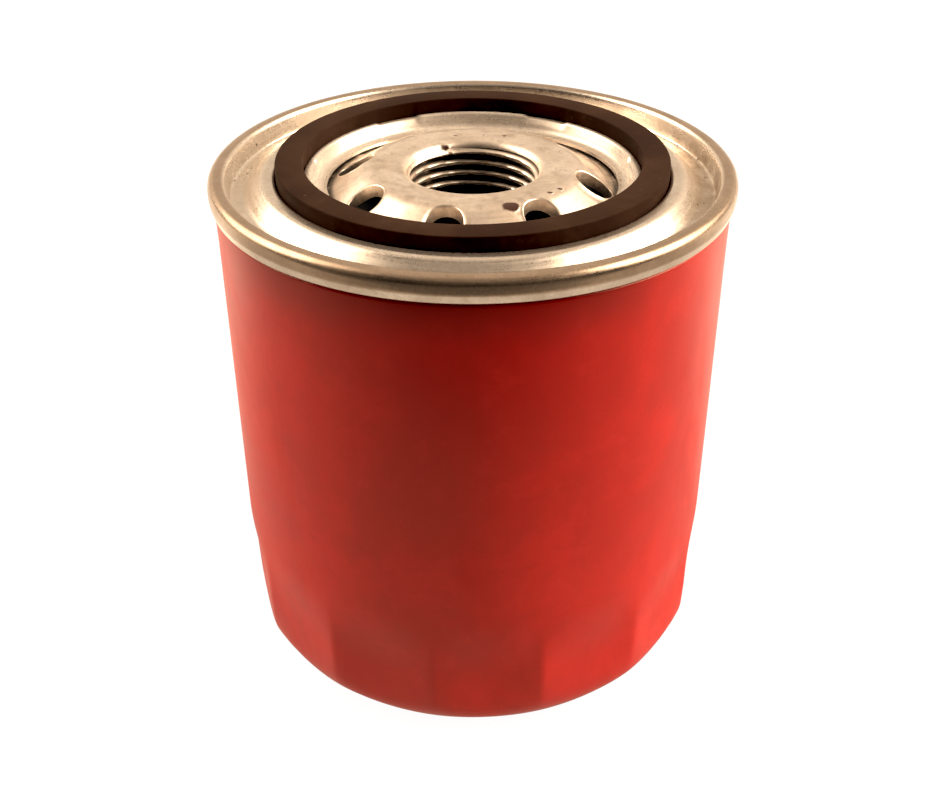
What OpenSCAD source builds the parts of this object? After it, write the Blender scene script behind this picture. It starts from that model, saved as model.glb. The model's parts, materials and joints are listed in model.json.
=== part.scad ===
// Spin-on oil filter, modelled as it is built: a seamed can with a thread plate and gasket
// on top, and inside it a pleated element with its valves, pushed up by a coil spring.
// Millimetres, +Z up, origin at the centre of the closed end.

/* [Can] */
// Outside diameter of the can wall
can_d = 94.6; // [94:0.1:94.8]
// Height of the can from its foot to the top of the seam
can_h = 99; // [98:0.5:110]
// Thickness of the can's sheet
can_wall = 0.45; // [0.4:0.05:0.5]
// Outside radius of the corner between the wall and the closed end
foot_r = 8.3; // [5:0.1:9]
// Depth of the shallow recess in the closed end
recess_h = 1.5; // [1:0.1:2]
// Diameter of that recess
recess_d = 46; // [44:1:56]
// Number of wrench flats pressed into the foot
flat_count = 14; // [12:1:15]
// Distance across two opposite flats
flat_span = 92.2; // [91.6:0.1:93]
// Height up to which a flat stands upright
flat_h = 16; // [12:1:18]
// Height at which a flat has faded into the wall
flat_top = 27; // [22:1:30]
// Turn of the ring of flats about the axis
flat_turn = 15.1; // [0:0.1:25.7]

/* [Seaming lid] */
// Outside diameter of the double seam
seam_d = 96.4; // [96.3:0.1:96.6]
// Height of the double seam's outer face
seam_h = 4.6; // [4.4:0.1:4.8]
// Thickness of the lid's sheet
lid_t = 0.6; // [0.5:0.05:0.6]
// Depth of the channel inside the seam, from the top of the seam
channel_depth = 4; // [3.8:0.1:4.2]
// Drop of the hump beside the gasket, from the top of the seam
hump_drop = 1; // [0.8:0.1:1.4]
// Diameter of the lid's inner edge
lid_mouth_d = 53.8; // [53.6:0.1:54.4]

/* [Gasket] */
// Outside diameter of the gasket
gasket_od = 72; // [71.8:0.1:72.1]
// Inside diameter of the gasket
gasket_id = 62; // [61.8:0.1:62.2]
// Height of the gasket's section
gasket_h = 5.5; // [5:0.1:6]

/* [Thread plate] */
// Minor diameter of the one inch, twelve to the inch thread
thread_minor_d = 23.1; // [20:0.1:23.6]
// Outside diameter of the plate
plate_d = 87.6; // [84:0.2:87.8]
// Thickness of the plate's sheet
plate_t = 2; // [1.8:0.1:2.4]
// Rise of the plate's crown above its flat rim
crown_h = 4; // [3.6:0.1:4.2]
// Length of the neck, from the crown to its lower end
neck_h = 8.8; // [8:0.1:9.4]
// Outside diameter of the neck
neck_d = 29.2; // [28.6:0.1:29.3]
// Number of inlet holes
inlet_count = 8; // [4:1:10]
// Diameter of an inlet hole
inlet_d = 6.7; // [5:0.1:7]
// Diameter of the circle that the inlet holes stand on
inlet_pcd = 45; // [44:0.1:45.4]
// Turn of the ring of inlet holes about the axis
inlet_turn = 32.4; // [0:0.1:45]

/* [Element] */
// Outside diameter of the pleated media
media_d = 81.2; // [76:0.2:81.4]
// Number of pleats
pleats = 52; // [36:1:54]
// Thickness of the filter paper
paper_t = 0.5; // [0.4:0.05:0.6]
// Height of the element's lower face above the foot
element_z = 16.5; // [16:0.1:18]
// Height of the element between the outer faces of its end caps
element_h = 68; // [66:0.5:68]
// Thickness of the end caps' sheet
cap_t = 0.5; // [0.4:0.05:0.6]
// Outside diameter of the perforated centre tube
tube_d = 36.4; // [36:0.1:36.6]
// Diameter of the tube's perforations
perforation_d = 4.5; // [3:0.5:5]
// Rows of perforations along the tube
perforation_rows = 9; // [5:1:9]

/* [Bypass valve] */
// Diameter of the valve housing's barrel
barrel_d = 20.8; // [20:0.1:21]
// Height of the valve housing's barrel above its flange
barrel_h = 15.5; // [15:0.1:16]
// Diameter of the hole through the valve seat
port_d = 13; // [10:0.5:14]
// Wire diameter of the valve spring
bypass_wire = 1; // [0.8:0.1:1.2]
// Turns of the valve spring
bypass_turns = 5.5; // [4:0.5:6]

/* [Hold-down spring] */
// Wire diameter of the spring under the element
hold_wire = 2.2; // [1.8:0.1:2.4]
// Mean diameter of its coils
hold_coil_d = 34; // [33:0.5:35]
// Turns of the spring
hold_turns = 4; // [3.5:0.25:4.25]

/* [Hidden] */
$fn = 96;

// Points along each rounded corner of an outline
bend_steps = 8;
// Gap left between two pieces that lie against each other
gap = 0.05;
// How far a cut runs past the face that it opens
past = 1;

// Heights of the top assembly
floor_z = can_h - channel_depth;
plate_z = floor_z - lid_t;
crown_z = plate_z + crown_h;
neck_z = crown_z - neck_h;

// Radii of the lid, from the seam inwards
can_r = can_d / 2;
seam_r = seam_d / 2;
seam_inner_r = seam_r - 3;
channel_r = seam_inner_r - 0.8;
slope_foot_r = channel_r - 2.7;
hump_r = slope_foot_r - 3.1;
groove_outer_r = gasket_od / 2 + 0.1;
groove_inner_r = gasket_id / 2 - 0.1;

// Layers of the double seam: the can's wall turns out and down over the lid's hook
neck_r = seam_inner_r + 0.75;
seam_foot_z = can_h - seam_h;
body_top_z = seam_foot_z - 1.6;
shoulder_z = seam_foot_z - 0.1;
hook_top_z = can_h - lid_t - can_wall - 0.15;
hook_gap = lid_t + 0.12;

// Heights of the element
cap_low_z = element_z;
cap_top_z = element_z + element_h;
adhesive_t = 1.8;
media_z = cap_low_z + cap_t + adhesive_t;
media_h = element_h - 2 * (cap_t + adhesive_t);
cap_r = media_d / 2 + 1.3;
cap_skirt = 5;
collar_r = neck_d / 2 + 3.1;
collar_h = 3.5;
tube_r = tube_d / 2;
tube_wall = 0.5;
media_inner_r = tube_r + 0.5;

// Bypass valve, on the lower end cap
barrel_r = barrel_d / 2;
valve_sheet = 0.5;
flange_z = cap_low_z - valve_sheet;
flange_r = hold_coil_d / 2 + 2.6;
seat_z = flange_z + 1.4;
seal_t = 1;
disc_t = 0.8;
disc_r = barrel_r - 1.1;
stem_r = 2.8;
retainer_z = flange_z + barrel_h - valve_sheet;
stem_h = retainer_z - seat_z - seal_t + 1.5;
spring_z = seat_z + seal_t + disc_t;

// Unit vector from point a to point b
function unit(a, b) = (b - a) / norm(b - a);

// The same angle between -180 and 180 degrees
function wrap(a) = a > 180 ? a - 360 : a < -180 ? a + 360 : a;

// First two numbers of a path point
function flat(p) = [p.x, p.y];

// Points round the corner p of the path a-p-b, bent to radius r
function corner(a, p, b, r) =
    let (u = unit(p, a), v = unit(p, b), half = acos(u * v) / 2)
    let (c = p + unit([0, 0], u + v) * r / sin(half))
    let (from = p + u * r / tan(half) - c, to = p + v * r / tan(half) - c)
    let (start = atan2(from.y, from.x), turn = wrap(atan2(to.y, to.x) - start))
    [for (i = [0:bend_steps]) let (w = start + turn * i / bend_steps) c + r * [cos(w), sin(w)]];

// Outline through [radius, height] points; a point's third number is the radius it is bent to
function bend(path) = [
    for (i = [0:len(path) - 1]) each len(path[i]) == 2
        ? [path[i]]
        : corner(flat(path[i - 1]), flat(path[i]), flat(path[i + 1]), path[i][2])
];

// Point i of an outline moved by d to the left of its run
function beside(p, i, d) =
    let (j = max(i, 1), k = min(i, len(p) - 2))
    let (u = unit(p[j - 1], p[j]), m = unit([0, 0], u + unit(p[k], p[k + 1])))
    p[i] + d / (m * u) * [-m.y, m.x];

function shifted(p, d) = [for (i = [0:len(p) - 1]) beside(p, i, d)];
function reversed(p) = [for (i = [len(p) - 1:-1:0]) p[i]];

// Section of a bent sheet: its visible face follows the path, t thick to the left (t < 0: right)
function sheet(path, t) = let (face = bend(path)) concat(face, reversed(shifted(face, t)));

module ring(inner, outer, low, high) {
    rotate_extrude()
        translate([inner, low])
            square([outer - inner, high - low]);
}

// Rise of a coil's wire after t of its n turns; the end turns lie close
function coil_rise(t, n, h, wire) =
    let (close = 1.08 * wire, live = (h - wire - 2 * close) / (n - 2))
    t < 1 ? close * t : t > n - 1 ? h - wire - close * (n - t) : close + live * (t - 1);

// Compression spring standing on z = 0, h high
module coil(mean_r, wire, n, h) {
    sides = 8;
    last = round(n * 24);
    points = [
        for (i = [0:last]) let (t = n * i / last, rise = wire / 2 + coil_rise(t, n, h, wire))
            for (k = [0:sides - 1]) let (w = 360 * k / sides, r = mean_r + cos(w) * wire / 2)
                [r * cos(360 * t), r * sin(360 * t), rise + sin(w) * wire / 2]
    ];
    walls = [
        for (i = [0:last - 1], k = [0:sides - 1])
            let (a = i * sides + k, b = i * sides + (k + 1) % sides)
                each [[a, b, b + sides], [a, b + sides, a + sides]]
    ];
    start_cap = [for (k = [sides - 1:-1:0]) k];
    end_cap = [for (k = [0:sides - 1]) last * sides + k];
    polyhedron(points, concat([start_cap, end_cap], walls));
}

// Solid inside the can's outer face (inset 0) or its inner face (inset can_wall)
module can_form(inset) {
    face = bend([
        [0, recess_h],
        [recess_d / 2, recess_h, 1],
        [recess_d / 2 + 2, 0, 1],
        [can_r, 0, foot_r],
        [can_r, body_top_z]
    ]);
    flat_r = flat_span / 2 - inset;
    reach = 3;
    run_out = reach * (flat_top - flat_h) / (can_r - flat_span / 2);
    difference() {
        rotate_extrude()
            polygon(concat(shifted(face, inset), [[0, body_top_z]]));
        for (i = [0:flat_count - 1])
            rotate(flat_turn + 360 * i / flat_count)
                rotate([90, 0, 0])
                    linear_extrude(40, center = true)
                        polygon([
                            [flat_r, -past],
                            [flat_r, flat_h],
                            [flat_r + reach, flat_h + run_out],
                            [flat_r + reach, -past]
                        ]);
    }
}

// Drawn steel can with its flats, necked in below the seam and hooked outwards inside it
module can() {
    color("firebrick") {
        difference() {
            can_form(0);
            can_form(can_wall);
        }
        rotate_extrude()
            polygon(sheet([
                [can_r, body_top_z],
                [can_r, shoulder_z, 0.6],
                [neck_r, shoulder_z, 0.35],
                [neck_r + 0.25, hook_top_z, 0.3],
                [neck_r + 0.25 + hook_gap, hook_top_z, 0.3],
                [neck_r + 0.1 + hook_gap, hook_top_z - 2]
            ], can_wall));
    }
}

// Lid with the seam's curl, the channel, the gasket's groove and the flange that holds it in
module seaming_lid() {
    color("tan")
        rotate_extrude()
            polygon(sheet([
                [lid_mouth_d / 2, floor_z],
                [groove_inner_r - 2.6, floor_z, 2],
                [groove_inner_r - 1.1, can_h - hump_drop - 0.1, 0.7],
                [groove_inner_r, can_h - hump_drop - 0.1, 0.65],
                [groove_inner_r, floor_z, 0.3],
                [groove_outer_r, floor_z, 0.3],
                [groove_outer_r, can_h - hump_drop, 0.8],
                [hump_r, can_h - hump_drop, 2],
                [slope_foot_r, floor_z, 2],
                [channel_r, floor_z, 0.7],
                [seam_inner_r, can_h, 1.1],
                [seam_r, can_h, 1.6],
                [seam_r, seam_foot_z + 1.8, 3],
                [seam_r - 0.45, seam_foot_z, 0.65],
                [neck_r + 0.06, seam_foot_z, 0.65],
                [neck_r + 0.25, hook_top_z - 0.6]
            ], -lid_t));
}

// Sealing compound squeezed into the fold between the two hooks
module seam_sealant() {
    color("gray")
        ring(neck_r + 0.35, neck_r + hook_gap + 0.15, hook_top_z - 0.5, hook_top_z - 0.12);
}

// Square-section rubber gasket, its edges broken by a small chamfer
module gasket() {
    chamfer = 0.25;
    inner = gasket_id / 2;
    outer = gasket_od / 2;
    top = floor_z + gasket_h;
    color("dimgray")
        rotate_extrude()
            polygon([
                [inner + chamfer, floor_z],
                [outer - chamfer, floor_z],
                [outer, floor_z + chamfer],
                [outer, top - chamfer],
                [outer - chamfer, top],
                [inner + chamfer, top],
                [inner, top - chamfer],
                [inner, floor_z + chamfer]
            ]);
}

// Pressed plate: flat rim under the lid, crown whose flank has the inlet holes, threaded neck
module thread_plate() {
    bore_r = thread_minor_d / 2;
    neck_r_out = neck_d / 2;
    flank_top_r = 19.4;
    flank_foot_r = 25.8;
    flank_tilt = atan(crown_h / (flank_foot_r - flank_top_r));
    step_in = plate_t * tan(flank_tilt / 2);
    top_face = bend([
        [bore_r, neck_z],
        [bore_r, crown_z - 2.05],
        [bore_r + 0.65, crown_z - 1.4],
        [bore_r + 1.05, crown_z - 0.25, 1.6],
        [flank_top_r, crown_z, 5],
        [flank_foot_r, plate_z, 3],
        [plate_d / 2, plate_z]
    ]);
    under_face = bend([
        [plate_d / 2, plate_z - plate_t],
        [flank_foot_r - step_in, plate_z - plate_t, 5],
        [flank_top_r - step_in, crown_z - plate_t, 3],
        [neck_r_out, crown_z - plate_t, 0.6],
        [neck_r_out, neck_z]
    ]);
    color("burlywood")
        difference() {
            rotate_extrude()
                polygon(concat(top_face, under_face));
            for (i = [0:inlet_count - 1])
                rotate(inlet_turn + 360 * i / inlet_count)
                    translate([inlet_pcd / 2, 0, plate_z - plate_t - past])
                        cylinder(d = inlet_d, h = crown_h + plate_t + 2 * past);
        }
}

// Moulded rubber valve: hub between neck and end cap, flap closing the inlet holes from below
module anti_drain_valve() {
    hub_inner = neck_d / 2 + 0.3;
    hub_outer = collar_r - cap_t - 0.2;
    shoulder_r = collar_r + 0.4;
    lip_r = 32.6;
    lip_z = plate_z - plate_t - gap;
    root_z = cap_top_z + collar_h + gap;
    color("black")
        rotate_extrude()
            polygon([
                [hub_inner, cap_top_z + gap],
                [hub_outer, cap_top_z + gap],
                [hub_outer, root_z],
                [shoulder_r, root_z],
                [lip_r - 2, lip_z - 1.5],
                [lip_r, lip_z - 1],
                [lip_r, lip_z],
                [lip_r - 2, lip_z],
                [lip_r - 2.4, lip_z - 0.5],
                [shoulder_r, root_z + 1.2],
                [hub_outer, root_z + 2.2],
                [hub_outer, crown_z - plate_t - 0.3],
                [hub_inner, crown_z - plate_t - 0.3]
            ]);
}

// Pressed end cap with a turned-down skirt and a collar round the valve's hub
module upper_end_cap() {
    color("silver")
        rotate_extrude()
            polygon(sheet([
                [collar_r, cap_top_z + collar_h],
                [collar_r, cap_top_z, 0.6],
                [cap_r, cap_top_z, 1],
                [cap_r, cap_top_z - cap_skirt]
            ], -cap_t));
}

module upper_adhesive() {
    color("wheat")
        ring(tube_r + 0.1, media_d / 2, cap_top_z - cap_t - adhesive_t, cap_top_z - cap_t);
}

// Outline of the folded paper, seen from its outer or its inner side
function pleat_outline(tip_r, tip_half, root_r, root_half) = [
    for (i = [0:pleats - 1]) let (tip = 360 * i / pleats, root = tip + 180 / pleats)
        each [
            tip_r * [cos(tip), sin(tip)] + tip_half * [sin(tip), -cos(tip)],
            tip_r * [cos(tip), sin(tip)] - tip_half * [sin(tip), -cos(tip)],
            root_r * [cos(root), sin(root)] + root_half * [sin(root), -cos(root)],
            root_r * [cos(root), sin(root)] - root_half * [sin(root), -cos(root)]
        ]
];

// Pleated filter paper, folded between the centre tube and the end caps' skirts
module filter_media() {
    outer_r = media_d / 2;
    fold = 0.9;
    crease = 0.25;
    color("moccasin")
        translate([0, 0, media_z])
            linear_extrude(media_h)
                difference() {
                    polygon(pleat_outline(outer_r, fold, media_inner_r + paper_t, crease));
                    polygon(pleat_outline(outer_r - paper_t, fold - paper_t,
                                          media_inner_r, crease + paper_t));
                }
}

// Steel channel crimped over the pleat that joins the two ends of the paper
module media_clip() {
    inner_half = 0.95;
    metal = 0.3;
    leg = 4;
    color("silver")
        translate([media_d / 2 - leg, 0, media_z])
            difference() {
                translate([0, -inner_half - metal, gap])
                    cube([leg + gap + metal, 2 * (inner_half + metal), media_h - 2 * gap]);
                translate([-past, -inner_half, -past])
                    cube([leg + gap + past, 2 * inner_half, media_h + 2 * past]);
            }
}

// Perforated steel tube that carries the clean oil up to the thread
module centre_tube() {
    low = cap_low_z + cap_t;
    high = cap_top_z - cap_t;
    pitch = (high - low) / (perforation_rows + 1);
    columns = 10;
    color("silver")
        difference() {
            ring(tube_r - tube_wall, tube_r, low, high);
            for (row = [1:perforation_rows], column = [0:columns - 1])
                translate([0, 0, low + row * pitch])
                    rotate([0, 90, (column + (row % 2) / 2) * 360 / columns])
                        translate([0, 0, tube_r - tube_wall - past])
                            cylinder(d = perforation_d, h = tube_wall + 2 * past);
        }
}

module lower_adhesive() {
    color("wheat")
        ring(tube_r + 0.1, media_d / 2, cap_low_z + cap_t, cap_low_z + cap_t + adhesive_t);
}

// Pressed end cap with a turned-up skirt and a hole for the bypass valve
module lower_end_cap() {
    color("silver")
        rotate_extrude()
            polygon(sheet([
                [barrel_r + 0.2, cap_low_z],
                [cap_r, cap_low_z, 1],
                [cap_r, cap_low_z + cap_skirt]
            ], cap_t));
}

// Valve body: a barrel with oil windows above a flange that the hold-down spring presses on
module bypass_housing() {
    window_w = 8;
    window_z = spring_z + 1;
    window_h = retainer_z - window_z - 1.5;
    color("gainsboro")
        difference() {
            union() {
                ring(barrel_r - valve_sheet, barrel_r, flange_z, flange_z + barrel_h);
                ring(barrel_r - valve_sheet, flange_r, flange_z, cap_low_z);
            }
            for (turn = [0, 90])
                rotate(turn)
                    translate([-barrel_r - past, -window_w / 2, window_z])
                        cube([barrel_d + 2 * past, window_w, window_h]);
        }
}

// Ring pressed into the barrel's foot, with a raised lip that the seal closes on
module bypass_seat() {
    lip = 0.8;
    color("darkgray")
        rotate_extrude()
            polygon([
                [port_d / 2, flange_z],
                [barrel_r - valve_sheet - gap, flange_z],
                [barrel_r - valve_sheet - gap, seat_z - 0.5],
                [port_d / 2 + lip, seat_z - 0.5],
                [port_d / 2 + lip, seat_z],
                [port_d / 2, seat_z]
            ]);
}

// Rubber washer on the valve disc's face
module bypass_seal() {
    color("black")
        ring(port_d / 2 - 1.5, disc_r - 0.3, seat_z, seat_z + seal_t);
}

// Valve disc with the spigot that holds the seal and the stem that the retainer guides
module bypass_poppet() {
    low = seat_z + seal_t;
    color("lightgray") {
        rotate_extrude()
            polygon([
                [0, low - seal_t],
                [port_d / 2 - 1.6, low - seal_t],
                [port_d / 2 - 1.6, low],
                [disc_r, low],
                [disc_r, low + disc_t],
                [stem_r, low + disc_t],
                [stem_r, low + stem_h - 0.6],
                [stem_r - 0.6, low + stem_h],
                [0, low + stem_h]
            ]);
    }
}

module bypass_spring() {
    color("slategray")
        translate([0, 0, spring_z + gap])
            coil(6.5, bypass_wire, bypass_turns, retainer_z - spring_z - 2 * gap);
}

// Disc crimped into the barrel's top: it guides the stem and holds the spring
module bypass_retainer() {
    slots = 6;
    color("gainsboro")
        difference() {
            ring(stem_r + 0.3, barrel_r - valve_sheet - gap, retainer_z, retainer_z + valve_sheet);
            for (i = [0:slots - 1])
                rotate(360 * i / slots)
                    translate([7.9, 0, retainer_z - past])
                        cylinder(d = 2.2, h = valve_sheet + 2 * past);
        }
}

module hold_down_spring() {
    foot_z = recess_h + can_wall + gap;
    color("slategray")
        translate([0, 0, foot_z])
            coil(hold_coil_d / 2, hold_wire, hold_turns, flange_z - gap - foot_z);
}

can();
seaming_lid();
seam_sealant();
gasket();
thread_plate();
anti_drain_valve();
upper_end_cap();
upper_adhesive();
filter_media();
media_clip();
centre_tube();
lower_adhesive();
lower_end_cap();
bypass_housing();
bypass_seat();
bypass_seal();
bypass_poppet();
bypass_spring();
bypass_retainer();
hold_down_spring();
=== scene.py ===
import json
import math

import bmesh
import bpy
import numpy as np
from mathutils import Matrix, Vector


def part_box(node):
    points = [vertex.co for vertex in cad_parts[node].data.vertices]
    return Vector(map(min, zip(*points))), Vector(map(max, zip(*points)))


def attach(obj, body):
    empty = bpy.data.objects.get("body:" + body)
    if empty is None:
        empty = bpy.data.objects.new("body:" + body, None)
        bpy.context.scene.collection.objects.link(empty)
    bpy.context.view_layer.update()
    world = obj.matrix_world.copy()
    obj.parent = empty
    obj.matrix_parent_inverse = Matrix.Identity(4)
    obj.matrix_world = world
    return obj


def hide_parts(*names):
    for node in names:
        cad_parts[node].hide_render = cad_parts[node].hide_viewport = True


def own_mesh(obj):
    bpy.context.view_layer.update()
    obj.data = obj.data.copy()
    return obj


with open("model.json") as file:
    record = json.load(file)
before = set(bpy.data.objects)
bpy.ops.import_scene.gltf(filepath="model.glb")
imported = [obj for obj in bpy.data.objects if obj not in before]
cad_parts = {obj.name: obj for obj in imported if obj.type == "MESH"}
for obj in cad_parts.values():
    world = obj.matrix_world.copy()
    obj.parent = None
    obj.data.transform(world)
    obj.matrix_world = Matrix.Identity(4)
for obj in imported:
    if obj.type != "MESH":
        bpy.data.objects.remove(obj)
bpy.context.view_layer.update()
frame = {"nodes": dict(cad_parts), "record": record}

MM = 0.001
TAU = 2 * math.pi
SMOOTH_ANGLE = 32    # edges sharper than this many degrees stay crisp

# Light: a dim warm room, soft lobes in its sky, and a floor that glows more or less strongly by place.
WARM = (1.0, 0.80, 0.60)
ROOM = 0.030
PLAIN_WHITE = 0.97
FLOOR_FRONT = 0.02
FLOOR_SIDE = 0.75
FLOOR_NEAR = 0.58
FLOOR_BACK = 1.05
# Each lobe: azimuth (0 is the front, 90 is +X), elevation, inner and outer radius in degrees, strength.
LOBES = [(92, 34, 10, 30, 15.0), (-107, 34, 10, 30, 9.3), (180, 24, 30, 72, 0.95), (0, 72, 8, 38, 0.30),
         (180, 84, 8, 28, 0.26)]


# ---------------------------------------------------------------- outlines, in mm

def bend(path, steps):
    """Path of (radius, height, bend radius) points as an outline with rounded corners."""
    points = []
    for i, p in enumerate(path):
        here = np.array(p[:2], float)
        if i in (0, len(path) - 1) or len(p) < 3:
            points.append(here)
            continue
        u = np.array(path[i - 1][:2], float) - here
        v = np.array(path[i + 1][:2], float) - here
        u /= np.linalg.norm(u)
        v /= np.linalg.norm(v)
        half = math.acos(float(np.clip(u @ v, -1, 1))) / 2
        centre = here + (u + v) / np.linalg.norm(u + v) * p[2] / math.sin(half)
        first = here + u * p[2] / math.tan(half) - centre
        last = here + v * p[2] / math.tan(half) - centre
        start = math.atan2(first[1], first[0])
        turn = math.atan2(last[1], last[0]) - start
        turn = (turn + math.pi) % TAU - math.pi
        for k in range(steps + 1):
            w = start + turn * k / steps
            points.append(centre + p[2] * np.array([math.cos(w), math.sin(w)]))
    return np.array(points)


def shifted(points, d):
    """Outline moved by d to the left of its run."""
    out = []
    for i in range(len(points)):
        j, k = max(i, 1), min(i, len(points) - 2)
        u = points[j] - points[j - 1]
        v = points[k + 1] - points[k]
        u /= np.linalg.norm(u)
        v /= np.linalg.norm(v)
        m = (u + v) / np.linalg.norm(u + v)
        out.append(points[i] + d / (m @ u) * np.array([-m[1], m[0]]))
    return np.array(out)


def fine(points, step):
    """The same open outline with no stretch longer than step."""
    out = []
    for a, b in zip(points[:-1], points[1:]):
        n = max(1, math.ceil(np.linalg.norm(b - a) / step))
        out += [a + (b - a) * k / n for k in range(n)]
    out.append(points[-1])
    return np.array(out)


def rounded(r0, r1, z0, z1, radius):
    """Closed section of a ring with rounded edges."""
    path = [((r0 + r1) / 2, z0), (r1, z0, radius), (r1, z1, radius), (r0, z1, radius),
            (r0, z0, radius), ((r0 + r1) / 2, z0)]
    return bend(path, 6)[:-1]


# ---------------------------------------------------------------- meshes

def wobble(theta, z, seed):
    """Smooth value between about -1 and 1 that varies round the axis and with height."""
    rng = np.random.default_rng(seed)
    total = 0
    for n in range(1, 6):
        a, b, c = rng.uniform(0, TAU, 3)
        total = total + np.sin(n * theta + a + z * (0.4 + 0.35 * n) + b * np.sin(theta + c)) / n
    return total / 1.9


def make(name, verts, faces, angle=SMOOTH_ANGLE):
    """Object from vertices in mm, shaded smooth except at edges sharper than angle."""
    mesh = bpy.data.meshes.new(name)
    mesh.from_pydata([tuple(v) for v in np.asarray(verts, float) * MM], [], faces)
    mesh.validate()
    mesh.polygons.foreach_set("use_smooth", [True] * len(mesh.polygons))
    mesh.set_sharp_from_angle(angle=math.radians(angle))
    obj = bpy.data.objects.new(name, mesh)
    bpy.context.scene.collection.objects.link(obj)
    return obj


def lathe(name, section, sides, shape=None):
    """Turned piece. shape(theta, r, z) gives the moved r and z.

    An outline that starts and ends on the axis is capped there.
    """
    n = len(section)
    theta = np.arange(sides) * TAU / sides
    t, r = np.meshgrid(theta, section[:, 0], indexing="ij")
    z = np.broadcast_to(section[:, 1], r.shape).copy()
    if shape:
        r, z = shape(t, r, z)
    verts = np.stack([r * np.cos(t), r * np.sin(t), z], -1).reshape(-1, 3)
    poles = section[0, 0] < 1e-6
    after = np.roll(section, -1, axis=0)
    area = 0.5 * np.sum(section[:, 0] * after[:, 1] - after[:, 0] * section[:, 1])
    faces = []
    last = n - 1 if poles else n
    for i in range(sides):
        a, b = i * n, ((i + 1) % sides) * n
        for j in range(last):
            k = (j + 1) % n
            if poles and j == 0:
                faces.append((0, b + k, a + k))
            elif poles and k == n - 1:
                faces.append((a + j, b + j, n - 1))
            else:
                faces.append((a + j, b + j, b + k, a + k))
    if area < 0:
        faces = [f[::-1] for f in faces]
    obj = make(name, verts, faces)
    return drop_loose(obj) if poles else obj


def drop_loose(obj):
    """Removes vertices that no face uses."""
    bm = bmesh.new()
    bm.from_mesh(obj.data)
    spare = [v for v in bm.verts if not v.link_faces]
    bmesh.ops.delete(bm, geom=spare, context="VERTS")
    bm.to_mesh(obj.data)
    bm.free()
    return obj


def tube_faces(rows, sides, first=0):
    """Faces of a closed tube: rows of sides vertices each, numbered from first."""
    faces = []
    for i in range(rows - 1):
        a, b = first + i * sides, first + (i + 1) * sides
        for k in range(sides):
            after = (k + 1) % sides
            faces.append((a + k, a + after, b + after, b + k))
    faces.append(tuple(first + k for k in range(sides))[::-1])
    faces.append(tuple(first + (rows - 1) * sides + k for k in range(sides)))
    return faces


def wire(name, centres, radius, sides):
    """Round wire swept along points, with domed ends."""
    c = np.asarray(centres, float)
    tangent = np.gradient(c, axis=0)
    tangent /= np.linalg.norm(tangent, axis=1)[:, None]
    out = c * [1, 1, 0]
    out /= np.linalg.norm(out, axis=1)[:, None]
    side = np.cross(tangent, out)
    side /= np.linalg.norm(side, axis=1)[:, None]
    out = np.cross(side, tangent)
    w = np.arange(sides)[:, None] * TAU / sides

    def circle(i, size, ahead):
        """Ring of vertices round point i, scaled by size and moved ahead along the wire."""
        return c[i] + tangent[i] * ahead + radius * size * (np.cos(w) * out[i] + np.sin(w) * side[i])

    angles = np.linspace(math.radians(8), math.pi / 2, 5)[:-1]
    dome = [(0.35 * radius * math.cos(a), math.sin(a)) for a in angles]
    rows = [circle(0, size, -ahead) for ahead, size in dome]
    rows += [circle(i, 1, 0) for i in range(len(c))]
    rows += [circle(-1, size, ahead) for ahead, size in reversed(dome)]
    return make(name, np.vstack(rows), tube_faces(len(rows), sides), 50)


# ---------------------------------------------------------------- materials

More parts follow.
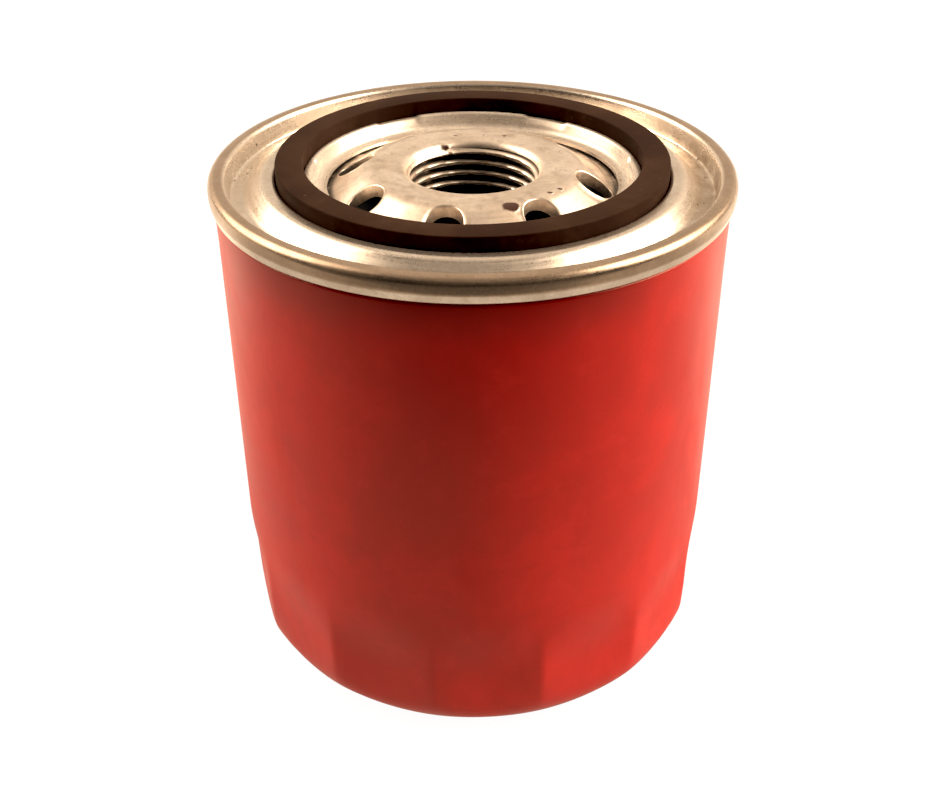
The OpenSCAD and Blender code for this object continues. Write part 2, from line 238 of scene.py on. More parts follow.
class Look:
    """A node material around one Principled shader, mapped by the object's own coordinates in metres."""

    def __init__(self, name, **fixed):
        self.mat = bpy.data.materials.new(name)
        self.mat.use_nodes = True
        self.tree = self.mat.node_tree
        self.tree.nodes.clear()
        self.out = self.add("OutputMaterial")
        self.shader = self.add("BsdfPrincipled")
        self.link(self.shader.outputs[0], self.out.inputs["Surface"])
        for key, value in fixed.items():
            self.shader.inputs[key.replace("_", " ")].default_value = value
        self.where = self.add("TexCoord").outputs["Object"]
        self.bumps = None

    def add(self, kind, **settings):
        n = self.tree.nodes.new("ShaderNode" + kind)
        for key, value in settings.items():
            setattr(n, key, value)
        return n

    def link(self, a, b):
        """Connects a socket to input b, or sets a plain value there."""
        if isinstance(a, bpy.types.NodeSocket):
            self.tree.links.new(a, b)
        else:
            b.default_value = a

    def math(self, op, a, b=0.0, c=0.0):
        n = self.add("Math", operation=op)
        for i, v in enumerate((a, b, c)):
            self.link(v, n.inputs[i])
        return n.outputs[0]

    def noise(self, scale, detail, rough, vector=None, w=None, distortion=0.0):
        n = self.add("TexNoise", noise_dimensions="4D" if w is not None else "3D")
        self.link(vector if vector is not None else self.where, n.inputs["Vector"])
        if w is not None:
            self.link(w, n.inputs["W"])
        n.inputs["Scale"].default_value = scale
        n.inputs["Detail"].default_value = detail
        n.inputs["Roughness"].default_value = rough
        n.inputs["Distortion"].default_value = distortion
        return n.outputs["Fac"]

    def ramp(self, value, low, high, a=0.0, b=1.0, smooth=True):
        """Goes from a to b while value goes from low to high."""
        n = self.add("MapRange", interpolation_type="SMOOTHSTEP" if smooth else "LINEAR")
        self.link(value, n.inputs["Value"])
        for key, v in (("From Min", low), ("From Max", high), ("To Min", a), ("To Max", b)):
            self.link(v, n.inputs[key])
        return n.outputs["Result"]

    def mix(self, fac, a, b, blend="MIX"):
        n = self.add("Mix", data_type="RGBA", blend_type=blend)
        self.link(fac, n.inputs["Factor"])
        for v, key in ((a, 6), (b, 7)):
            self.link(v if isinstance(v, bpy.types.NodeSocket) else (*v, 1.0), n.inputs[key])
        return n.outputs[2]

    def scaled(self, x, y, z, vector=None):
        """Coordinates multiplied by x, y and z."""
        n = self.add("VectorMath", operation="MULTIPLY")
        self.link(vector if vector is not None else self.where, n.inputs[0])
        n.inputs[1].default_value = (x, y, z)
        return n.outputs[0]

    def polar(self):
        """(radius, height, x over radius, y over radius), lengths in metres."""
        s = self.add("SeparateXYZ")
        self.link(self.where, s.inputs[0])
        x, y, z = s.outputs
        r = self.math("SQRT", self.math("ADD", self.math("MULTIPLY", x, x), self.math("MULTIPLY", y, y)))
        safe = self.math("MAXIMUM", r, 1e-5)
        return r, z, self.math("DIVIDE", x, safe), self.math("DIVIDE", y, safe)

    def turned(self, across, along):
        """(vector, w) that stretch a pattern round the axis, as spinning or pressing leaves it."""
        r, z, cx, cy = self.polar()
        n = self.add("CombineXYZ")
        self.link(self.math("MULTIPLY", r, across), n.inputs[0])
        self.link(self.math("MULTIPLY", cx, along), n.inputs[1])
        self.link(self.math("MULTIPLY", cy, along), n.inputs[2])
        return n.outputs[0], self.math("MULTIPLY", z, across)

    def spot(self, x, y, z, radius, soft, stretch):
        """1 within radius of a point, all in metres, fading out over soft of it, with a ragged edge."""
        v = self.add("VectorMath", operation="SUBTRACT")
        self.link(self.where, v.inputs[0])
        v.inputs[1].default_value = (x, y, z)
        d = self.add("VectorMath", operation="LENGTH")
        self.link(self.scaled(*stretch, vector=v.outputs[0]), d.inputs[0])
        ragged = self.math("MULTIPLY_ADD", self.noise(1 / radius, 3, 0.6), radius * 0.7, d.outputs["Value"])
        return self.ramp(ragged, radius * (1.35 - soft), radius * 1.35, 1.0, 0.0)

    def bump(self, height, distance):
        """Adds relief of distance metres on top of the relief added before."""
        n = self.add("Bump")
        n.inputs["Strength"].default_value = 1.0
        n.inputs["Distance"].default_value = distance
        self.link(height, n.inputs["Height"])
        if self.bumps is not None:
            self.link(self.bumps, n.inputs["Normal"])
        self.bumps = n.outputs[0]

    def done(self, color, rough, metal=None):
        """Connects the finished inputs and gives the material."""
        self.link(color, self.shader.inputs["Base Color"])
        self.link(rough, self.shader.inputs["Roughness"])
        if metal is not None:
            self.link(metal, self.shader.inputs["Metallic"])
        if self.bumps is not None:
            self.link(self.bumps, self.shader.inputs["Normal"])
        return self.mat


def red_paint():
    """Semi-gloss enamel with soft smudges, mottling, faint scuffs and a painted shadow under the seam at the
    front.
    """
    m = Look("red_paint", Specular_IOR_Level=0.56, Specular_Tint=(1.0, 0.87, 0.66, 1.0))
    _, z, cx, _ = m.polar()
    cloud = m.noise(38, 4, 0.55, distortion=0.6)
    smear = m.noise(1.0, 4, 0.6, vector=m.scaled(70, 70, 22), distortion=0.4)
    grain = m.noise(2400, 3, 0.6)
    color = m.mix(m.ramp(cloud, 0.34, 0.66), (0.465, 0.0060, 0.0054), (0.57, 0.0105, 0.0090))
    color = m.mix(m.ramp(smear, 0.48, 0.72, 0.0, 0.30), color, (0.38, 0.0055, 0.0050))
    mottle = m.noise(130, 5, 0.7, distortion=0.5)
    color = m.mix(m.ramp(mottle, 0.50, 0.66, 0.0, 0.30), color, (0.40, 0.0060, 0.0052))
    color = m.mix(m.ramp(mottle, 0.48, 0.34, 0.0, 0.22), color, (0.66, 0.022, 0.017))
    color = m.mix(m.ramp(grain, 0.38, 0.62, 0.0, 0.13), color, (0.34, 0.0050, 0.0045))
    dust = m.ramp(m.noise(420, 3, 0.6), 0.66, 0.8, 0.0, 0.10)
    color = m.mix(dust, color, (0.60, 0.10, 0.07))
    lines, w = m.turned(260, 2.2)
    scuff = m.ramp(m.noise(1.0, 5, 0.7, vector=lines, w=w), 0.66, 0.8, 0.0, 0.16)
    color = m.mix(scuff, color, (0.62, 0.055, 0.04))
    # Painted shadow: the wall just under the seam is darkened at the front and fades out towards both sides.
    ragged = m.math("MULTIPLY_ADD", m.noise(90, 3, 0.6), 0.004, z)
    shade = m.math("MULTIPLY", m.ramp(ragged, 0.0860, 0.0960, 0.0, 0.62), m.ramp(cx, 0.75, 0.40))
    shade = m.math("MULTIPLY", shade, m.ramp(cx, -0.95, -0.72))
    color = m.mix(shade, color, (0.17, 0.0035, 0.0030))
    rough = m.ramp(cloud, 0.25, 0.75, 0.34, 0.44)
    rough = m.math("ADD", rough, m.ramp(smear, 0.45, 0.75, 0.0, 0.10))
    rough = m.math("ADD", rough, m.math("MULTIPLY", scuff, 0.5))
    m.bump(m.noise(22, 2, 0.5), 0.00022)
    m.bump(m.noise(260, 3, 0.55), 0.000018)
    m.bump(grain, 0.000006)
    return m.done(color, rough)


def sheet_metal(name, light, dark, grime, rough=(0.26, 0.40), relief=1.0, dirt=0.35):
    """Pressed or spun sheet: fine turned lines, cloudy stains, and grime that gathers in specks."""
    m = Look(name, Metallic=1.0)
    stain = m.noise(75, 5, 0.62, distortion=0.8)
    fine_stain = m.noise(420, 4, 0.65)
    color = m.mix(m.ramp(stain, 0.32, 0.68), light, dark)
    color = m.mix(m.ramp(fine_stain, 0.62 - 0.25 * dirt, 0.78, 0.0, dirt), color, grime)
    roughness = m.ramp(stain, 0.3, 0.7, rough[0], rough[1])
    roughness = m.math("ADD", roughness, m.ramp(fine_stain, 0.45, 0.8, 0.0, 0.05))
    v, w = m.turned(2600, 1.3)
    line = m.noise(1.0, 3, 0.6, vector=v, w=w)
    v2, w2 = m.turned(700, 2.0)
    band = m.noise(1.0, 3, 0.6, vector=v2, w=w2)
    color = m.mix(m.ramp(band, 0.42, 0.75, 0.0, 0.28), color, dark)
    roughness = m.math("ADD", roughness, m.ramp(line, 0.3, 0.7, -0.03, 0.07))
    m.bump(line, 0.0000035 * relief)
    m.bump(band, 0.000006 * relief)
    m.bump(m.noise(900, 2, 0.5), 0.000004 * relief)
    m.bump(m.noise(55, 2, 0.5), 0.00006)
    specks = m.ramp(m.noise(1300, 2, 0.5), 0.70, 0.76)
    patch = m.ramp(m.noise(60, 3, 0.6), 0.52, 0.66)
    speck = m.math("MULTIPLY", specks, patch)
    color = m.mix(m.math("MULTIPLY", speck, dirt), color, (0.16, 0.11, 0.08))
    roughness = m.math("ADD", roughness, m.math("MULTIPLY", speck, 0.08))
    return m, color, roughness


def spangle(m, color, rough, size, depth):
    """Zinc crystals: small patches that differ in tone and a little in gloss."""
    cell = m.add("TexVoronoi", feature="F1")
    m.link(m.where, cell.inputs["Vector"])
    cell.inputs["Scale"].default_value = size
    s = m.add("SeparateColor")
    m.link(cell.outputs["Color"], s.inputs[0])
    tone, gloss = s.outputs[0], s.outputs[1]
    color = m.mix(m.math("MULTIPLY", tone, depth), color, (0.42, 0.35, 0.29))
    return color, m.math("ADD", rough, m.ramp(gloss, 0.0, 1.0, -0.01, 0.02))


def lid_metal():
    """Zinc-plated sheet: a darker seam roll, a stain at the channel's right and flecks at both its sides."""
    m, color, rough = sheet_metal("lid_metal", (0.78, 0.705, 0.625), (0.61, 0.54, 0.465), (0.36, 0.29, 0.23),
                                  rough=(0.22, 0.33), relief=0.22)
    color, rough = spangle(m, color, rough, 2100.0, 0.26)
    r, z, cx, _ = m.polar()
    roll = m.math("MULTIPLY", m.ramp(r, 0.0452, 0.0458), m.ramp(z, 0.0957, 0.0963))
    color = m.mix(roll, color, (0.58, 0.50, 0.43), "MULTIPLY")
    right = m.math("MULTIPLY", m.ramp(cx, 0.75, 0.98), m.ramp(m.noise(260, 4, 0.65), 0.34, 0.62))
    groove = m.math("MULTIPLY", m.ramp(r, 0.0405, 0.0418), m.ramp(r, 0.0452, 0.0446))
    color = m.mix(m.math("MULTIPLY", m.math("MULTIPLY", right, groove), 0.8), color, (0.36, 0.27, 0.19))
    fleck = m.math("MULTIPLY", m.ramp(m.noise(820, 2, 0.5), 0.69, 0.73), groove)
    fleck = m.math("MULTIPLY", fleck, m.ramp(m.math("ABSOLUTE", cx), 0.70, 0.9))
    color = m.mix(fleck, color, (0.05, 0.03, 0.02))
    return m.done(color, rough, m.ramp(r, 0.0300, 0.0312, 0.55, 0.92))


# Flecks of dirt on the crown round the thread: x, y, z and radius in metres.
FLECKS = [(-0.0051, 0.0112, 0.0975, 0.0007), (0.0135, -0.0131, 0.0983, 0.0005),
          (0.0154, -0.0113, 0.0983, 0.0005), (-0.0043, 0.0110, 0.0962, 0.0005),
          (-0.0034, 0.0152, 0.0984, 0.0004), (0.0022, 0.0156, 0.0984, 0.0003),
          (0.0061, 0.0150, 0.0984, 0.0004), (-0.0121, 0.0080, 0.0984, 0.0003)]


def plate_metal():
    """Thick bright sheet with oil and painted shade in the thread's grooves, painted shadow and grime in the
    gap beside the lid at the sides, and a few dark flecks.
    """
    m, color, rough = sheet_metal("plate_metal", (0.97, 0.86, 0.755), (0.64, 0.54, 0.45), (0.27, 0.205, 0.15),
                                  rough=(0.30, 0.42), relief=0.5, dirt=0.6)
    blob = m.spot(0.0066, -0.0186, 0.0983, 0.0015, soft=0.4, stretch=(0.75, 1, 1))
    color, rough = spangle(m, color, rough, 1800.0, 0.20)
    r, z, cx, _ = m.polar()
    # Oil and painted shade: the thread's flanks and the bottoms of its grooves under the lip are darkened,
    # its crests are not.
    thread_oil_and_shade = m.math("MULTIPLY", m.ramp(r, 0.01175, 0.0123), m.ramp(z, 0.0971, 0.0968))
    thread_oil_and_shade = m.math("MULTIPLY", thread_oil_and_shade, m.ramp(r, 0.0131, 0.0129))
    color = m.mix(m.math("MULTIPLY", thread_oil_and_shade, 0.92), color, (0.06, 0.042, 0.03))
    # Painted shadow with a little grime: a dark ragged ring in the gap beside the lid's inner edge, on the
    # left and right only.
    gap_shadow = m.math("MULTIPLY", m.ramp(r, 0.0255, 0.0264), m.ramp(m.math("ABSOLUTE", cx), 0.5, 0.85))
    gap_shadow = m.math("MULTIPLY", gap_shadow, m.ramp(m.noise(300, 3, 0.6), 0.25, 0.5))
    color = m.mix(m.math("MULTIPLY", gap_shadow, 0.9), color, (0.05, 0.035, 0.025))
    for *place, size in FLECKS:
        blob = m.math("MAXIMUM", blob, m.spot(*place, size, soft=0.5, stretch=(0.6, 1, 1)))
    color = m.mix(blob, color, (0.045, 0.016, 0.009))
    rough = m.ramp(blob, 0.0, 1.0, rough, 0.16)
    m.bump(blob, 0.00012)
    return m.done(color, rough, m.ramp(blob, 0.0, 0.6, 1.0, 0.0))


def tinplate():
    """Thin tinned sheet of the caps, the tube and the valve body."""
    m, color, rough = sheet_metal("tinplate", (0.74, 0.72, 0.68), (0.60, 0.58, 0.54), (0.38, 0.34, 0.28))
    return m.done(color, rough)


def spring_wire():
    """Dark drawn wire with lighter rubbed spots."""
    m = Look("spring_wire", Metallic=1.0)
    stain = m.noise(160, 4, 0.6)
    color = m.mix(m.ramp(stain, 0.35, 0.7), (0.30, 0.29, 0.28), (0.17, 0.14, 0.12))
    color = m.mix(m.ramp(m.noise(900, 3, 0.6), 0.58, 0.75, 0.0, 0.6), color, (0.45, 0.42, 0.38))
    m.bump(m.noise(1600, 3, 0.6), 0.00001)
    return m.done(color, m.ramp(stain, 0.3, 0.7, 0.28, 0.46))


def rubber(name, base, worn, rough=(0.42, 0.62), specular=0.5, tint=(1.0, 1.0, 1.0, 1.0)):
    """Moulded rubber: faint bloom, rubbed patches and a very fine surface grain."""
    m = Look(name, Specular_IOR_Level=specular, Specular_Tint=tint)
    cloud = m.noise(60, 4, 0.6, distortion=0.5)
    rub = m.noise(330, 4, 0.65)
    color = m.mix(m.ramp(cloud, 0.35, 0.7, 0.0, 0.6), base, worn)
    color = m.mix(m.ramp(rub, 0.56, 0.76, 0.0, 0.45), color, worn)
    dust = m.ramp(m.noise(1500, 2, 0.5), 0.70, 0.78, 0.0, 0.35)
    color = m.mix(dust, color, (0.16, 0.11, 0.085))
    roughness = m.math("ADD", m.ramp(cloud, 0.3, 0.7, rough[0], rough[1]), m.ramp(rub, 0.5, 0.8, 0.0, 0.12))
    v, w = m.turned(900, 1.6)
    m.bump(m.noise(1.0, 3, 0.6, vector=v, w=w), 0.00001)
    m.bump(m.noise(2200, 3, 0.6), 0.000012)
    m.bump(m.noise(120, 3, 0.5), 0.00004)
    return m.done(color, roughness)


def paper():
    """Resin-treated filter paper with fibres drawn out along the pleats."""
    m = Look("filter_paper", Specular_IOR_Level=0.25)
    fibre = m.noise(1.0, 5, 0.65, vector=m.scaled(1500, 1500, 350))
    cloud = m.noise(90, 4, 0.6)
    color = m.mix(m.ramp(cloud, 0.3, 0.7), (0.70, 0.52, 0.27), (0.60, 0.42, 0.20))
    color = m.mix(m.ramp(fibre, 0.35, 0.7, 0.0, 0.5), color, (0.80, 0.64, 0.38))
    m.bump(fibre, 0.00003)
    return m.done(color, m.ramp(fibre, 0.3, 0.7, 0.75, 0.92))


def compound(name, a, b, gloss=(0.35, 0.55), speck=0.3):
    """Cast or moulded plastic: two cloudy tones with fine darker pores."""
    m = Look(name, Specular_IOR_Level=0.4)
    cloud = m.noise(110, 4, 0.6, distortion=0.7)
    pore = m.noise(1100, 3, 0.6)
    color = m.mix(m.ramp(cloud, 0.3, 0.7), a, b)
    color = m.mix(m.ramp(pore, 0.6, 0.75, 0.0, speck), color, tuple(0.5 * c for c in b))
    m.bump(m.noise(240, 3, 0.55), 0.00006)
    m.bump(pore, 0.00001)
    return m.done(color, m.ramp(cloud, 0.3, 0.7, *gloss))


def floor_white():
    """Pale matt floor that glows for the object's sake and is plain white to the camera.

    It glows least in front, where the can mirrors a darker room.
    """
    m = Look("floor_white", Specular_IOR_Level=0.1)
    cloud = m.noise(3.0, 3, 0.5)
    color = m.mix(m.ramp(cloud, 0.3, 0.7), (0.065, 0.065, 0.065), (0.055, 0.055, 0.055))
    s = m.add("SeparateXYZ")
    m.link(m.where, s.inputs[0])
    y = s.outputs[1]
    r = m.polar()[0]
    ahead = m.ramp(y, -0.20, -0.14, FLOOR_FRONT, FLOOR_SIDE)
    ahead = m.math("ADD", ahead, m.ramp(y, 0.0, 0.12, 0.0, FLOOR_BACK))
    glow = m.math("MAXIMUM", ahead, m.ramp(r, 0.05, 0.11, FLOOR_NEAR, 0.0))
    seen = m.add("LightPath").outputs["Is Camera Ray"]
    m.link(m.ramp(seen, 0.0, 1.0, glow, PLAIN_WHITE, smooth=False), m.shader.inputs["Emission Strength"])
    m.link(m.mix(seen, WARM, (1.0, 1.0, 1.0)), m.shader.inputs["Emission Color"])
    m.bump(m.noise(700, 2, 0.5), 0.00002)
    return m.done(color, m.ramp(cloud, 0.3, 0.7, 0.85, 0.95))


LOOKS = {
    "red_paint": red_paint(),
    "plated_steel": lid_metal(),
    "plate_steel": plate_metal(),
    "cap_steel": tinplate(),
    "spring_steel": spring_wire(),
    "gasket_rubber": rubber("gasket_rubber", (0.026, 0.0140, 0.0093), (0.058, 0.0335, 0.0230),
                            rough=(0.52, 0.68), specular=0.035, tint=(1.0, 0.68, 0.48, 1.0)),
    "valve_rubber": rubber("valve_rubber", (0.018, 0.016, 0.015), (0.035, 0.031, 0.028)),
    "valve_nylon": compound("valve_nylon", (0.78, 0.75, 0.66), (0.70, 0.66, 0.56), (0.30, 0.42), 0.1),
    "filter_paper": paper(),
    "plastisol": compound("plastisol", (0.72, 0.60, 0.40), (0.62, 0.50, 0.32)),
    "sealing_compound": compound("sealing_compound", (0.30, 0.28, 0.25), (0.22, 0.20, 0.18)),
}


def dress(obj, slot):
    """Gives an object the finish of its material slot."""
    obj.data.materials.clear()
    obj.data.materials.append(LOOKS[slot])


def fit(obj, body, slot, *nodes):
    """Gives a piece its finish, its body and the CAD nodes it stands for."""
    dress(obj, slot)
    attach(obj, body)
    if nodes:
        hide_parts(*nodes)


# ---------------------------------------------------------------- can

CAN_R = 47.3
CAN_WALL = 0.45
FLAT_COUNT = 14
FLAT_TURN = math.radians(16)
FLAT_R = 46.12       # distance of a flat from the axis
FLAT_TOP = 29        # height where the flats have died away
FLAT_FADE = 15       # length over which they do


def foot_flats(theta, r, z):
    """Fourteen flats pressed into the foot and blended softly into the wall of a slightly wavy can."""
    pitch = TAU / FLAT_COUNT
    off = (theta - FLAT_TURN + pitch / 2) % pitch - pitch / 2
    inside = np.arange(r.shape[1]) >= r.shape[1] / 2
    plane = FLAT_R / np.cos(off) - np.where(inside, CAN_WALL, 0)
    outer = np.where(r > 30, r, 0)
    soft = np.interp(z, [4, 8, 13, 24], [0.60, 0.33, 0.06, 0.12])
    fade = np.clip((FLAT_TOP - z) / FLAT_FADE, 0, 1)
    depth = soft * np.logaddexp(0, (outer - plane) / soft) * fade * fade * (3 - 2 * fade)
    wave = 0.05 * (wobble(theta, z * 0.05, 11) - 1)
    wave = wave * np.clip((z - 2) / 20, 0, 1) * np.clip((92 - z) / 4, 0, 1)
    wall = np.clip((r - 30) / 8, 0, 1)
    dish = 0.10 * wobble(theta, r * 0.08, 5) * np.clip(1 - r / 24, 0, 1) * (z < 3)
    return r - depth + wave * wall, z + dish


def build_can():
    """Drawn can with a recess under its closed end, a round foot and a rim folded into the seam."""
    path = [(0, 1.5), (23, 1.5, 1), (25, 0, 1), (CAN_R, 0, 8.3), (CAN_R, 94.3, 0.6), (45.95, 94.3, 0.35),
            (46.2, 97.8, 0.3), (46.92, 97.8, 0.3), (46.77, 95.8)]
    face = fine(bend(path, 14), 1.2)
    section = np.vstack([face, shifted(face, CAN_WALL)[::-1]])
    return lathe("can_body", section, 384, foot_flats)


fit(build_can(), "shell", "red_paint", "can")


# ---------------------------------------------------------------- lid and gasket

LID_WALL = 0.6
LID_FLOOR = 95       # top of the groove's and the channel's floor
SEAM_R = 48.18       # a little inside the CAD seam's 48.2
SEAM_TOP = 99
GASKET_IN, GASKET_OUT, GASKET_TOP = 31, 36, 100.5
STAKES = [math.radians(0.4 + 60 * k) for k in range(6)]


def staked(theta):
    """1 on a staked block of the flange, 0 between them, with steep flanks."""
    total = np.zeros_like(theta)
    for s in STAKES:
        off = np.abs((theta - s + math.pi) % TAU - math.pi)
        total = np.maximum(total, 1 / (1 + np.exp((off - math.radians(8.5)) / math.radians(0.35))))
    return total


def lid_shape(theta, r, z):
    """Six staked blocks, a wavy inner edge that lifts at the sides, and a hump that is not quite even."""
    s = staked(theta)
    crest = np.exp(-((r - 30.3) / 0.9) ** 2) * np.clip((z - 96.2) / 0.9, 0, 1)
    crest = crest * (r < 31.5)
    side = np.cos(theta) ** 2
    lifted = (0.05 + 0.42 * side + 0.06 * wobble(theta, 0 * z, 3)) * np.clip((28.6 - r) / 1.7, 0, 1)
    hump = np.exp(-((r - 37.5) / 1.5) ** 2) * 0.05 * (wobble(theta, 0 * z, 8) - 1)
    return r + 0.34 * s * crest, z - 0.42 * s * crest + hump + np.maximum(lifted, 0)


def build_lid():
    """Thin lid from its inner flange over groove, hump and channel to the rolled seam round the can's rim."""
    groove_in, groove_out = GASKET_IN - 0.1, GASKET_OUT + 0.1
    path = [(26.9, LID_FLOOR), (28.3, LID_FLOOR, 2), (29.8, 97.9, 0.7), (groove_in, 97.9, 0.65),
            (groove_in, LID_FLOOR, 0.3), (groove_out, LID_FLOOR, 0.3), (groove_out, 98, 0.8), (38.6, 98, 2),
            (41.7, LID_FLOOR, 2), (44.4, LID_FLOOR, 0.7), (45.2, SEAM_TOP, 1.1), (SEAM_R, SEAM_TOP, 1.6),
            (SEAM_R, 96.2, 3), (47.75, 94.4, 0.65), (46.01, 94.4, 0.65), (46.2, 97.2)]
    face = fine(bend(path, 12), 0.35)
    section = np.vstack([face, shifted(face, -LID_WALL)[::-1]])
    return lathe("seamed_lid", section, 720, lid_shape)


fit(build_lid(), "shell", "plated_steel", "seaming_lid")


def gasket_shape(theta, r, z):
    """Rubber that gives way to the stakes low on its inner side and is slightly uneven elsewhere."""
    inner = np.clip((33.5 - r) / 2.5, 0, 1)
    low = np.clip((98.6 - z) / 0.8, 0, 1)
    top = np.clip((z - 99.8) / 0.6, 0, 1)
    r = r + 0.36 * staked(theta) * inner * low
    r = r + 0.05 * wobble(theta, z * 0.2, 21) * np.where(r > 33.5, 0.6, 1.0) * np.where(r > 35.5, 0.5, 1.0)
    z = z + top * 0.045 * (wobble(theta, r * 0.5, 31) - 1.1)
    return r, z


def build_gasket():
    """Square-section ring in the lid's groove, standing proud of the seam."""
    section = rounded(GASKET_IN, GASKET_OUT, LID_FLOOR, GASKET_TOP, 0.24)
    return lathe("sealing_gasket", section, 480, gasket_shape)


fit(build_gasket(), "shell", "gasket_rubber", "gasket")


# ---------------------------------------------------------------- thread plate

PITCH = 25.4 / 12
MINOR = 11.55
THREAD_START = 89.36
HOLES = [math.radians(32.4 + 45 * k) for k in range(8)]
HOLE_R = 3.35
HOLE_PCD_R = 22.5
PLATE_R = 43.8
PLATE_RIM = 94.4     # height of the flat rim's top face
NECK_LOW = 89.6
PLATE_TOP = [(MINOR, NECK_LOW), (MINOR, 96.35), (12.2, 97), (12.6, 98.15, 1.6), (19.4, 98.4, 5),
             (25.8, PLATE_RIM, 3), (PLATE_R, PLATE_RIM)]
PLATE_UNDER = [(PLATE_R, 92.4), (25.23, 92.4, 5), (18.83, 96.4, 3), (14.6, 96.4, 0.6), (14.6, NECK_LOW)]


def thread_depth(theta, z):
    """Depth of a right-hand 60 degree internal thread at a point of its bore."""
    u = ((z - THREAD_START) / PITCH - theta / TAU) % 1.0
    d = np.abs(u - 0.5) * PITCH
    flank = np.clip((PITCH * 3 / 8 - d) / (PITCH * 5 / 16), 0, 1)
    return 0.541 * PITCH * flank


def plate_shape(theta, r, z):
    """Thread cut into the bore, a soft lip raised round each inlet hole, and a slightly uneven crown."""
    bore = (r < 12.21) & (z < 96.99)
    cut = MINOR + thread_depth(theta, z)
    threaded = np.where(bore, np.maximum(r, cut), r)
    x, y = r * np.cos(theta), r * np.sin(theta)
    raised = np.zeros_like(r)
    for a in HOLES:
        d = np.hypot(x - HOLE_PCD_R * math.cos(a), y - HOLE_PCD_R * math.sin(a))
        raised = np.maximum(raised, 0.16 * np.exp(-((d - HOLE_R) / 0.42) ** 2))
        raised = raised - 0.10 * np.exp(-((d - HOLE_R - 1.1) / 0.7) ** 2)
    top = (z > surface_z(r) - 0.6) & (r > 16) & (r < 28)
    wave = 0.04 * wobble(theta, r * 0.35, 41)
    return threaded, z + np.where(top, raised + wave * 0.6, 0)


TOP_LINE = bend(PLATE_TOP, 16)


def surface_z(r):
    """Height of the plate's top face at a radius."""
    outer = TOP_LINE[TOP_LINE[:, 1].argmax():]
    return np.interp(r, outer[:, 0], outer[:, 1])


def hole_cutters():
    """Eight cutters that follow the crown's slope and round the top edge of each hole."""
    sides = 56
    fillet = 0.2
    bottom = 89.0
    arc = [(HOLE_R + fillet - fillet * math.cos(t), -fillet + fillet * math.sin(t) + 0.03)
           for t in np.radians([0, 20, 40, 60, 76])]
    levels = [(HOLE_R, None)] + arc + [(HOLE_R + fillet + 0.35, 1.2)]
    verts, faces = [], []
    for a in HOLES:
        cx, cy = HOLE_PCD_R * math.cos(a), HOLE_PCD_R * math.sin(a)
        faces += tube_faces(len(levels), sides, len(verts))
        for rho, above in levels:
            for k in range(sides):
                w = TAU * k / sides
                x, y = cx + rho * math.cos(w), cy + rho * math.sin(w)
                z = bottom if above is None else float(surface_z(math.hypot(x, y))) + above
                verts.append((x, y, z))
    return make("hole_cutters", verts, faces)


def carve(obj, cutter):
    """Cuts one mesh out of another and keeps the result as plain mesh."""
    mod = obj.modifiers.new("cut", "BOOLEAN")
    mod.operation = "DIFFERENCE"
    mod.solver = "EXACT"
    mod.object = cutter
    bpy.context.view_layer.update()
    done = bpy.data.meshes.new_from_object(obj.evaluated_get(bpy.context.evaluated_depsgraph_get()))
    obj.modifiers.clear()
    obj.data = done
    bpy.data.objects.remove(cutter)
    done.polygons.foreach_set("use_smooth", [True] * len(done.polygons))
    done.set_sharp_from_angle(angle=math.radians(SMOOTH_ANGLE))
    return obj


def build_plate():
    """Thick plate, finely divided in the bore and on the crown and coarsely under the lid."""
    bore = TOP_LINE[:3]
    crown = TOP_LINE[2:]
    top = np.vstack([fine(bore, 0.12), fine(crown, 0.2)[1:]])
    near = top[top[:, 0] < 27.5]
    far = fine(np.array([near[-1], [PLATE_R, PLATE_RIM]]), 2.5)[1:]
    under = fine(bend(PLATE_UNDER, 8), 0.9)
    section = np.vstack([near, far, under])
    plate = lathe("threaded_plate", section, 576, plate_shape)
    return carve(plate, hole_cutters())


fit(build_plate(), "shell", "plate_steel", "thread_plate")


# ---------------------------------------------------------------- springs

# The hold-down spring is the big one, the bypass spring the small one; R is the wire's middle radius.
BIG_R, BIG_GAUGE, BIG_TURNS, BIG_TRAVEL = 17, 2.2, 4, 2.0
SMALL_R, SMALL_GAUGE, SMALL_TURNS, SMALL_TRAVEL = 6.5, 1.0, 5.5, 3.5


def coil_line(mean_r, gauge, turns, low, height):
    """Centre line of a compression spring whose end turns lie close, ground flat by their height."""
    close = 1.08 * gauge
    live = (height - gauge - 2 * close) / (turns - 2)
    t = np.linspace(0, turns, round(turns * 64) + 1)
    top_turn = height - gauge - close * (turns - t)
    rise = np.where(t < 1, close * t, np.where(t > turns - 1, top_turn, close + live * (t - 1)))
    beside = 9
    window = 2 * beside + 1
    smooth = np.convolve(np.pad(rise, beside, mode="edge"), np.ones(window) / window, "valid")
    rise = np.clip(smooth, 0, height - gauge)
    return np.stack([mean_r * np.cos(TAU * t), mean_r * np.sin(TAU * t), low + gauge / 2 + rise], -1)


def build_springs():
    """Both springs fill their CAD nodes' boxes."""
    low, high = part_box("hold_down_spring")
    z0, z1 = low.z / MM, high.z / MM
    line = coil_line(BIG_R, BIG_GAUGE, BIG_TURNS, z0, z1 - z0)
    big = wire("element_spring", line, BIG_GAUGE / 2, 16)
    fit(big, "shell", "spring_steel", "hold_down_spring")
    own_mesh(big)
    low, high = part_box("bypass_spring")
    z0, z1 = low.z / MM, high.z / MM
    line = coil_line(SMALL_R, SMALL_GAUGE, SMALL_TURNS, z0, z1 - z0)
    small = wire("valve_spring", line, SMALL_GAUGE / 2, 12)
    fit(small, "element", "spring_steel", "bypass_spring")
    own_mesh(small)


build_springs()


# ---------------------------------------------------------------- anti-drain valve

def flap_ribs(theta, r, z):
    """Six faint waves in the outer part of the flap."""
    return r, z + 0.05 * np.sin(6 * theta) * np.clip((r - 22) / 6, 0, 1) * (z > 88.4)


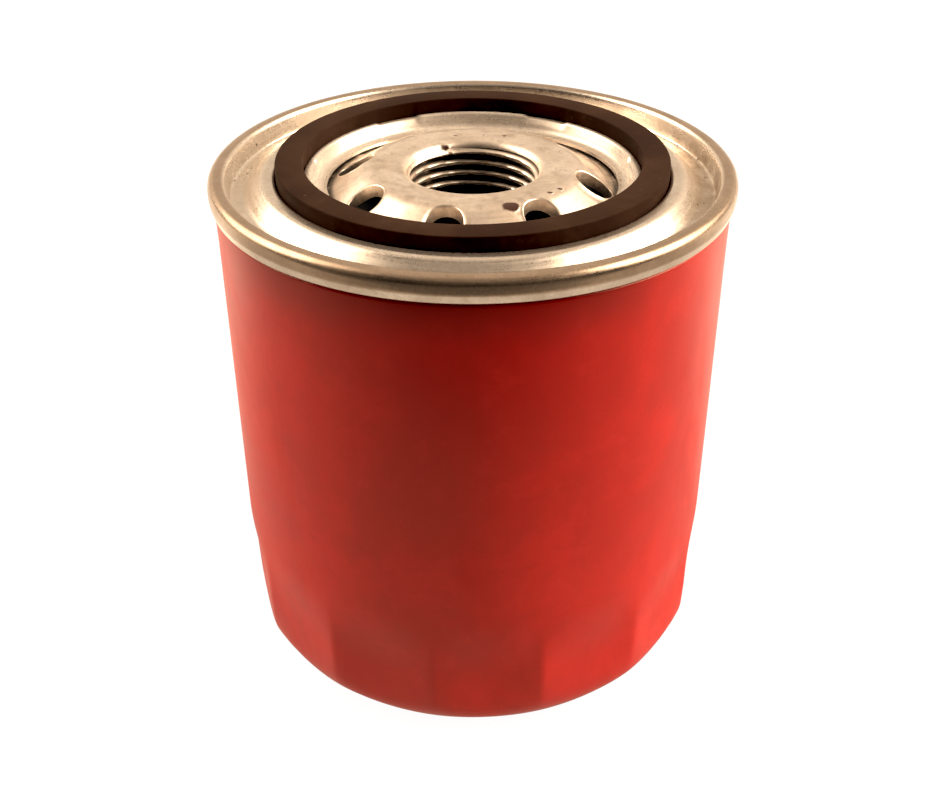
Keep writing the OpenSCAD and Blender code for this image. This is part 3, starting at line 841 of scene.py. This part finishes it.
def build_valve():
    """Rubber hub, and the flap round it with six faint waves in its outer part."""
    hub = bend([(14.9, 84.55), (17.0, 84.55, 0.3), (17.0, 88.05, 0.3), (18.1, 88.05, 0.4), (18.5, 89.0, 0.3),
                (17.0, 90.3, 0.5), (17.0, 96.1, 0.3), (14.9, 96.1, 0.3), (14.9, 89.3), (14.9, 84.55)], 5)[:-1]
    hub_piece = lathe("valve_hub", hub, 256)
    fit(hub_piece, "element", "valve_rubber")
    flap = bend([(18.0, 88.15), (18.6, 88.15), (24.5, 89.4, 6), (30.6, 90.9, 1), (32.5, 91.3, 0.3),
                 (32.5, 92.3, 0.25), (30.7, 92.3, 0.3), (30.2, 91.85, 0.5), (24.3, 90.55, 6), (18.3, 89.3),
                 (18.0, 89.2), (18.0, 88.15)], 5)[:-1]
    flap_piece = lathe("valve_flap", flap, 256, flap_ribs)
    fit(flap_piece, "element", "valve_rubber", "anti_drain_valve")
    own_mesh(flap_piece)


build_valve()


# ---------------------------------------------------------------- inner pieces kept from the CAD

for row in frame["record"]["subparts"]:
    node = frame["nodes"][row["node"]]
    if not node.hide_render:
        dress(node, row["material_slot"])


# ---------------------------------------------------------------- floor, light and camera

def build_stage():
    """Floor of 6 m by 6 m, a hair under the foot."""
    n = 24
    xs = np.linspace(-3000, 3000, n)
    verts = [(x, y, -0.02) for y in xs for x in xs]
    faces = [(j * n + i, j * n + i + 1, (j + 1) * n + i + 1, (j + 1) * n + i)
             for j in range(n - 1) for i in range(n - 1)]
    floor = make("floor", verts, faces)
    floor.data.materials.append(floor_white())


def build_world():
    """Dim warm room with the lobes of light in its sky; the camera itself sees plain white."""
    world = bpy.data.worlds.new("studio")
    bpy.context.scene.world = world
    world.use_nodes = True
    tree = world.node_tree
    tree.nodes.clear()
    out = tree.nodes.new("ShaderNodeOutputWorld")
    back = tree.nodes.new("ShaderNodeBackground")
    coord = tree.nodes.new("ShaderNodeTexCoord").outputs["Generated"]

    def lobe(azimuth, elevation, inner, outer, strength):
        """Strength within inner degrees of a direction, fading to 0 at outer degrees."""
        a, e = math.radians(azimuth), math.radians(elevation)
        dot = tree.nodes.new("ShaderNodeVectorMath")
        dot.operation = "DOT_PRODUCT"
        tree.links.new(coord, dot.inputs[0])
        dot.inputs[1].default_value = (math.sin(a) * math.cos(e), -math.cos(a) * math.cos(e), math.sin(e))
        ramp = tree.nodes.new("ShaderNodeMapRange")
        ramp.interpolation_type = "SMOOTHSTEP"
        tree.links.new(dot.outputs["Value"], ramp.inputs["Value"])
        ramp.inputs["From Min"].default_value = math.cos(math.radians(outer))
        ramp.inputs["From Max"].default_value = math.cos(math.radians(inner))
        ramp.inputs["To Max"].default_value = strength
        return ramp.outputs["Result"]

    total = tree.nodes.new("ShaderNodeValue").outputs[0]
    total.default_value = ROOM
    for row in LOBES:
        add = tree.nodes.new("ShaderNodeMath")
        tree.links.new(total, add.inputs[0])
        tree.links.new(lobe(*row), add.inputs[1])
        total = add.outputs[0]
    tree.links.new(total, back.inputs["Strength"])
    back.inputs["Color"].default_value = (*WARM, 1)
    plain = tree.nodes.new("ShaderNodeBackground")
    plain.inputs["Color"].default_value = (1, 1, 1, 1)
    plain.inputs["Strength"].default_value = PLAIN_WHITE
    seen = tree.nodes.new("ShaderNodeLightPath").outputs["Is Camera Ray"]
    mix = tree.nodes.new("ShaderNodeMixShader")
    tree.links.new(seen, mix.inputs["Fac"])
    tree.links.new(back.outputs[0], mix.inputs[1])
    tree.links.new(plain.outputs[0], mix.inputs[2])
    tree.links.new(mix.outputs[0], out.inputs["Surface"])


def build_camera():
    """The view fitted to the reference: aimed 48.5 mm above the foot, from 254 mm away and 32 degrees up."""
    elevation = math.radians(32.062)
    distance = 253.773
    target = Vector((0, 0, 48.525)) * MM
    data = bpy.data.cameras.new("camera")
    data.sensor_fit = "HORIZONTAL"
    data.sensor_width = 36
    data.lens = 47.32495
    data.shift_x = -0.0036383
    data.clip_start = 0.01
    obj = bpy.data.objects.new("camera", data)
    bpy.context.scene.collection.objects.link(obj)
    place = target + Vector((0, -math.cos(elevation), math.sin(elevation))) * distance * MM
    look = (target - place).to_track_quat("-Z", "Y")
    roll = Matrix.Rotation(math.radians(-0.177), 4, "Z")
    obj.matrix_world = Matrix.Translation(place) @ look.to_matrix().to_4x4() @ roll
    bpy.context.scene.camera = obj


def set_tone():
    """Plain display transform with the blacks pulled down a little, most of all in red."""
    view = bpy.context.scene.view_settings
    view.view_transform = "Standard"
    view.use_curve_mapping = True
    view.curve_mapping.black_level = (0.016, 0.011, 0.007)
    view.curve_mapping.update()


build_stage()
build_world()
build_camera()
set_tone()
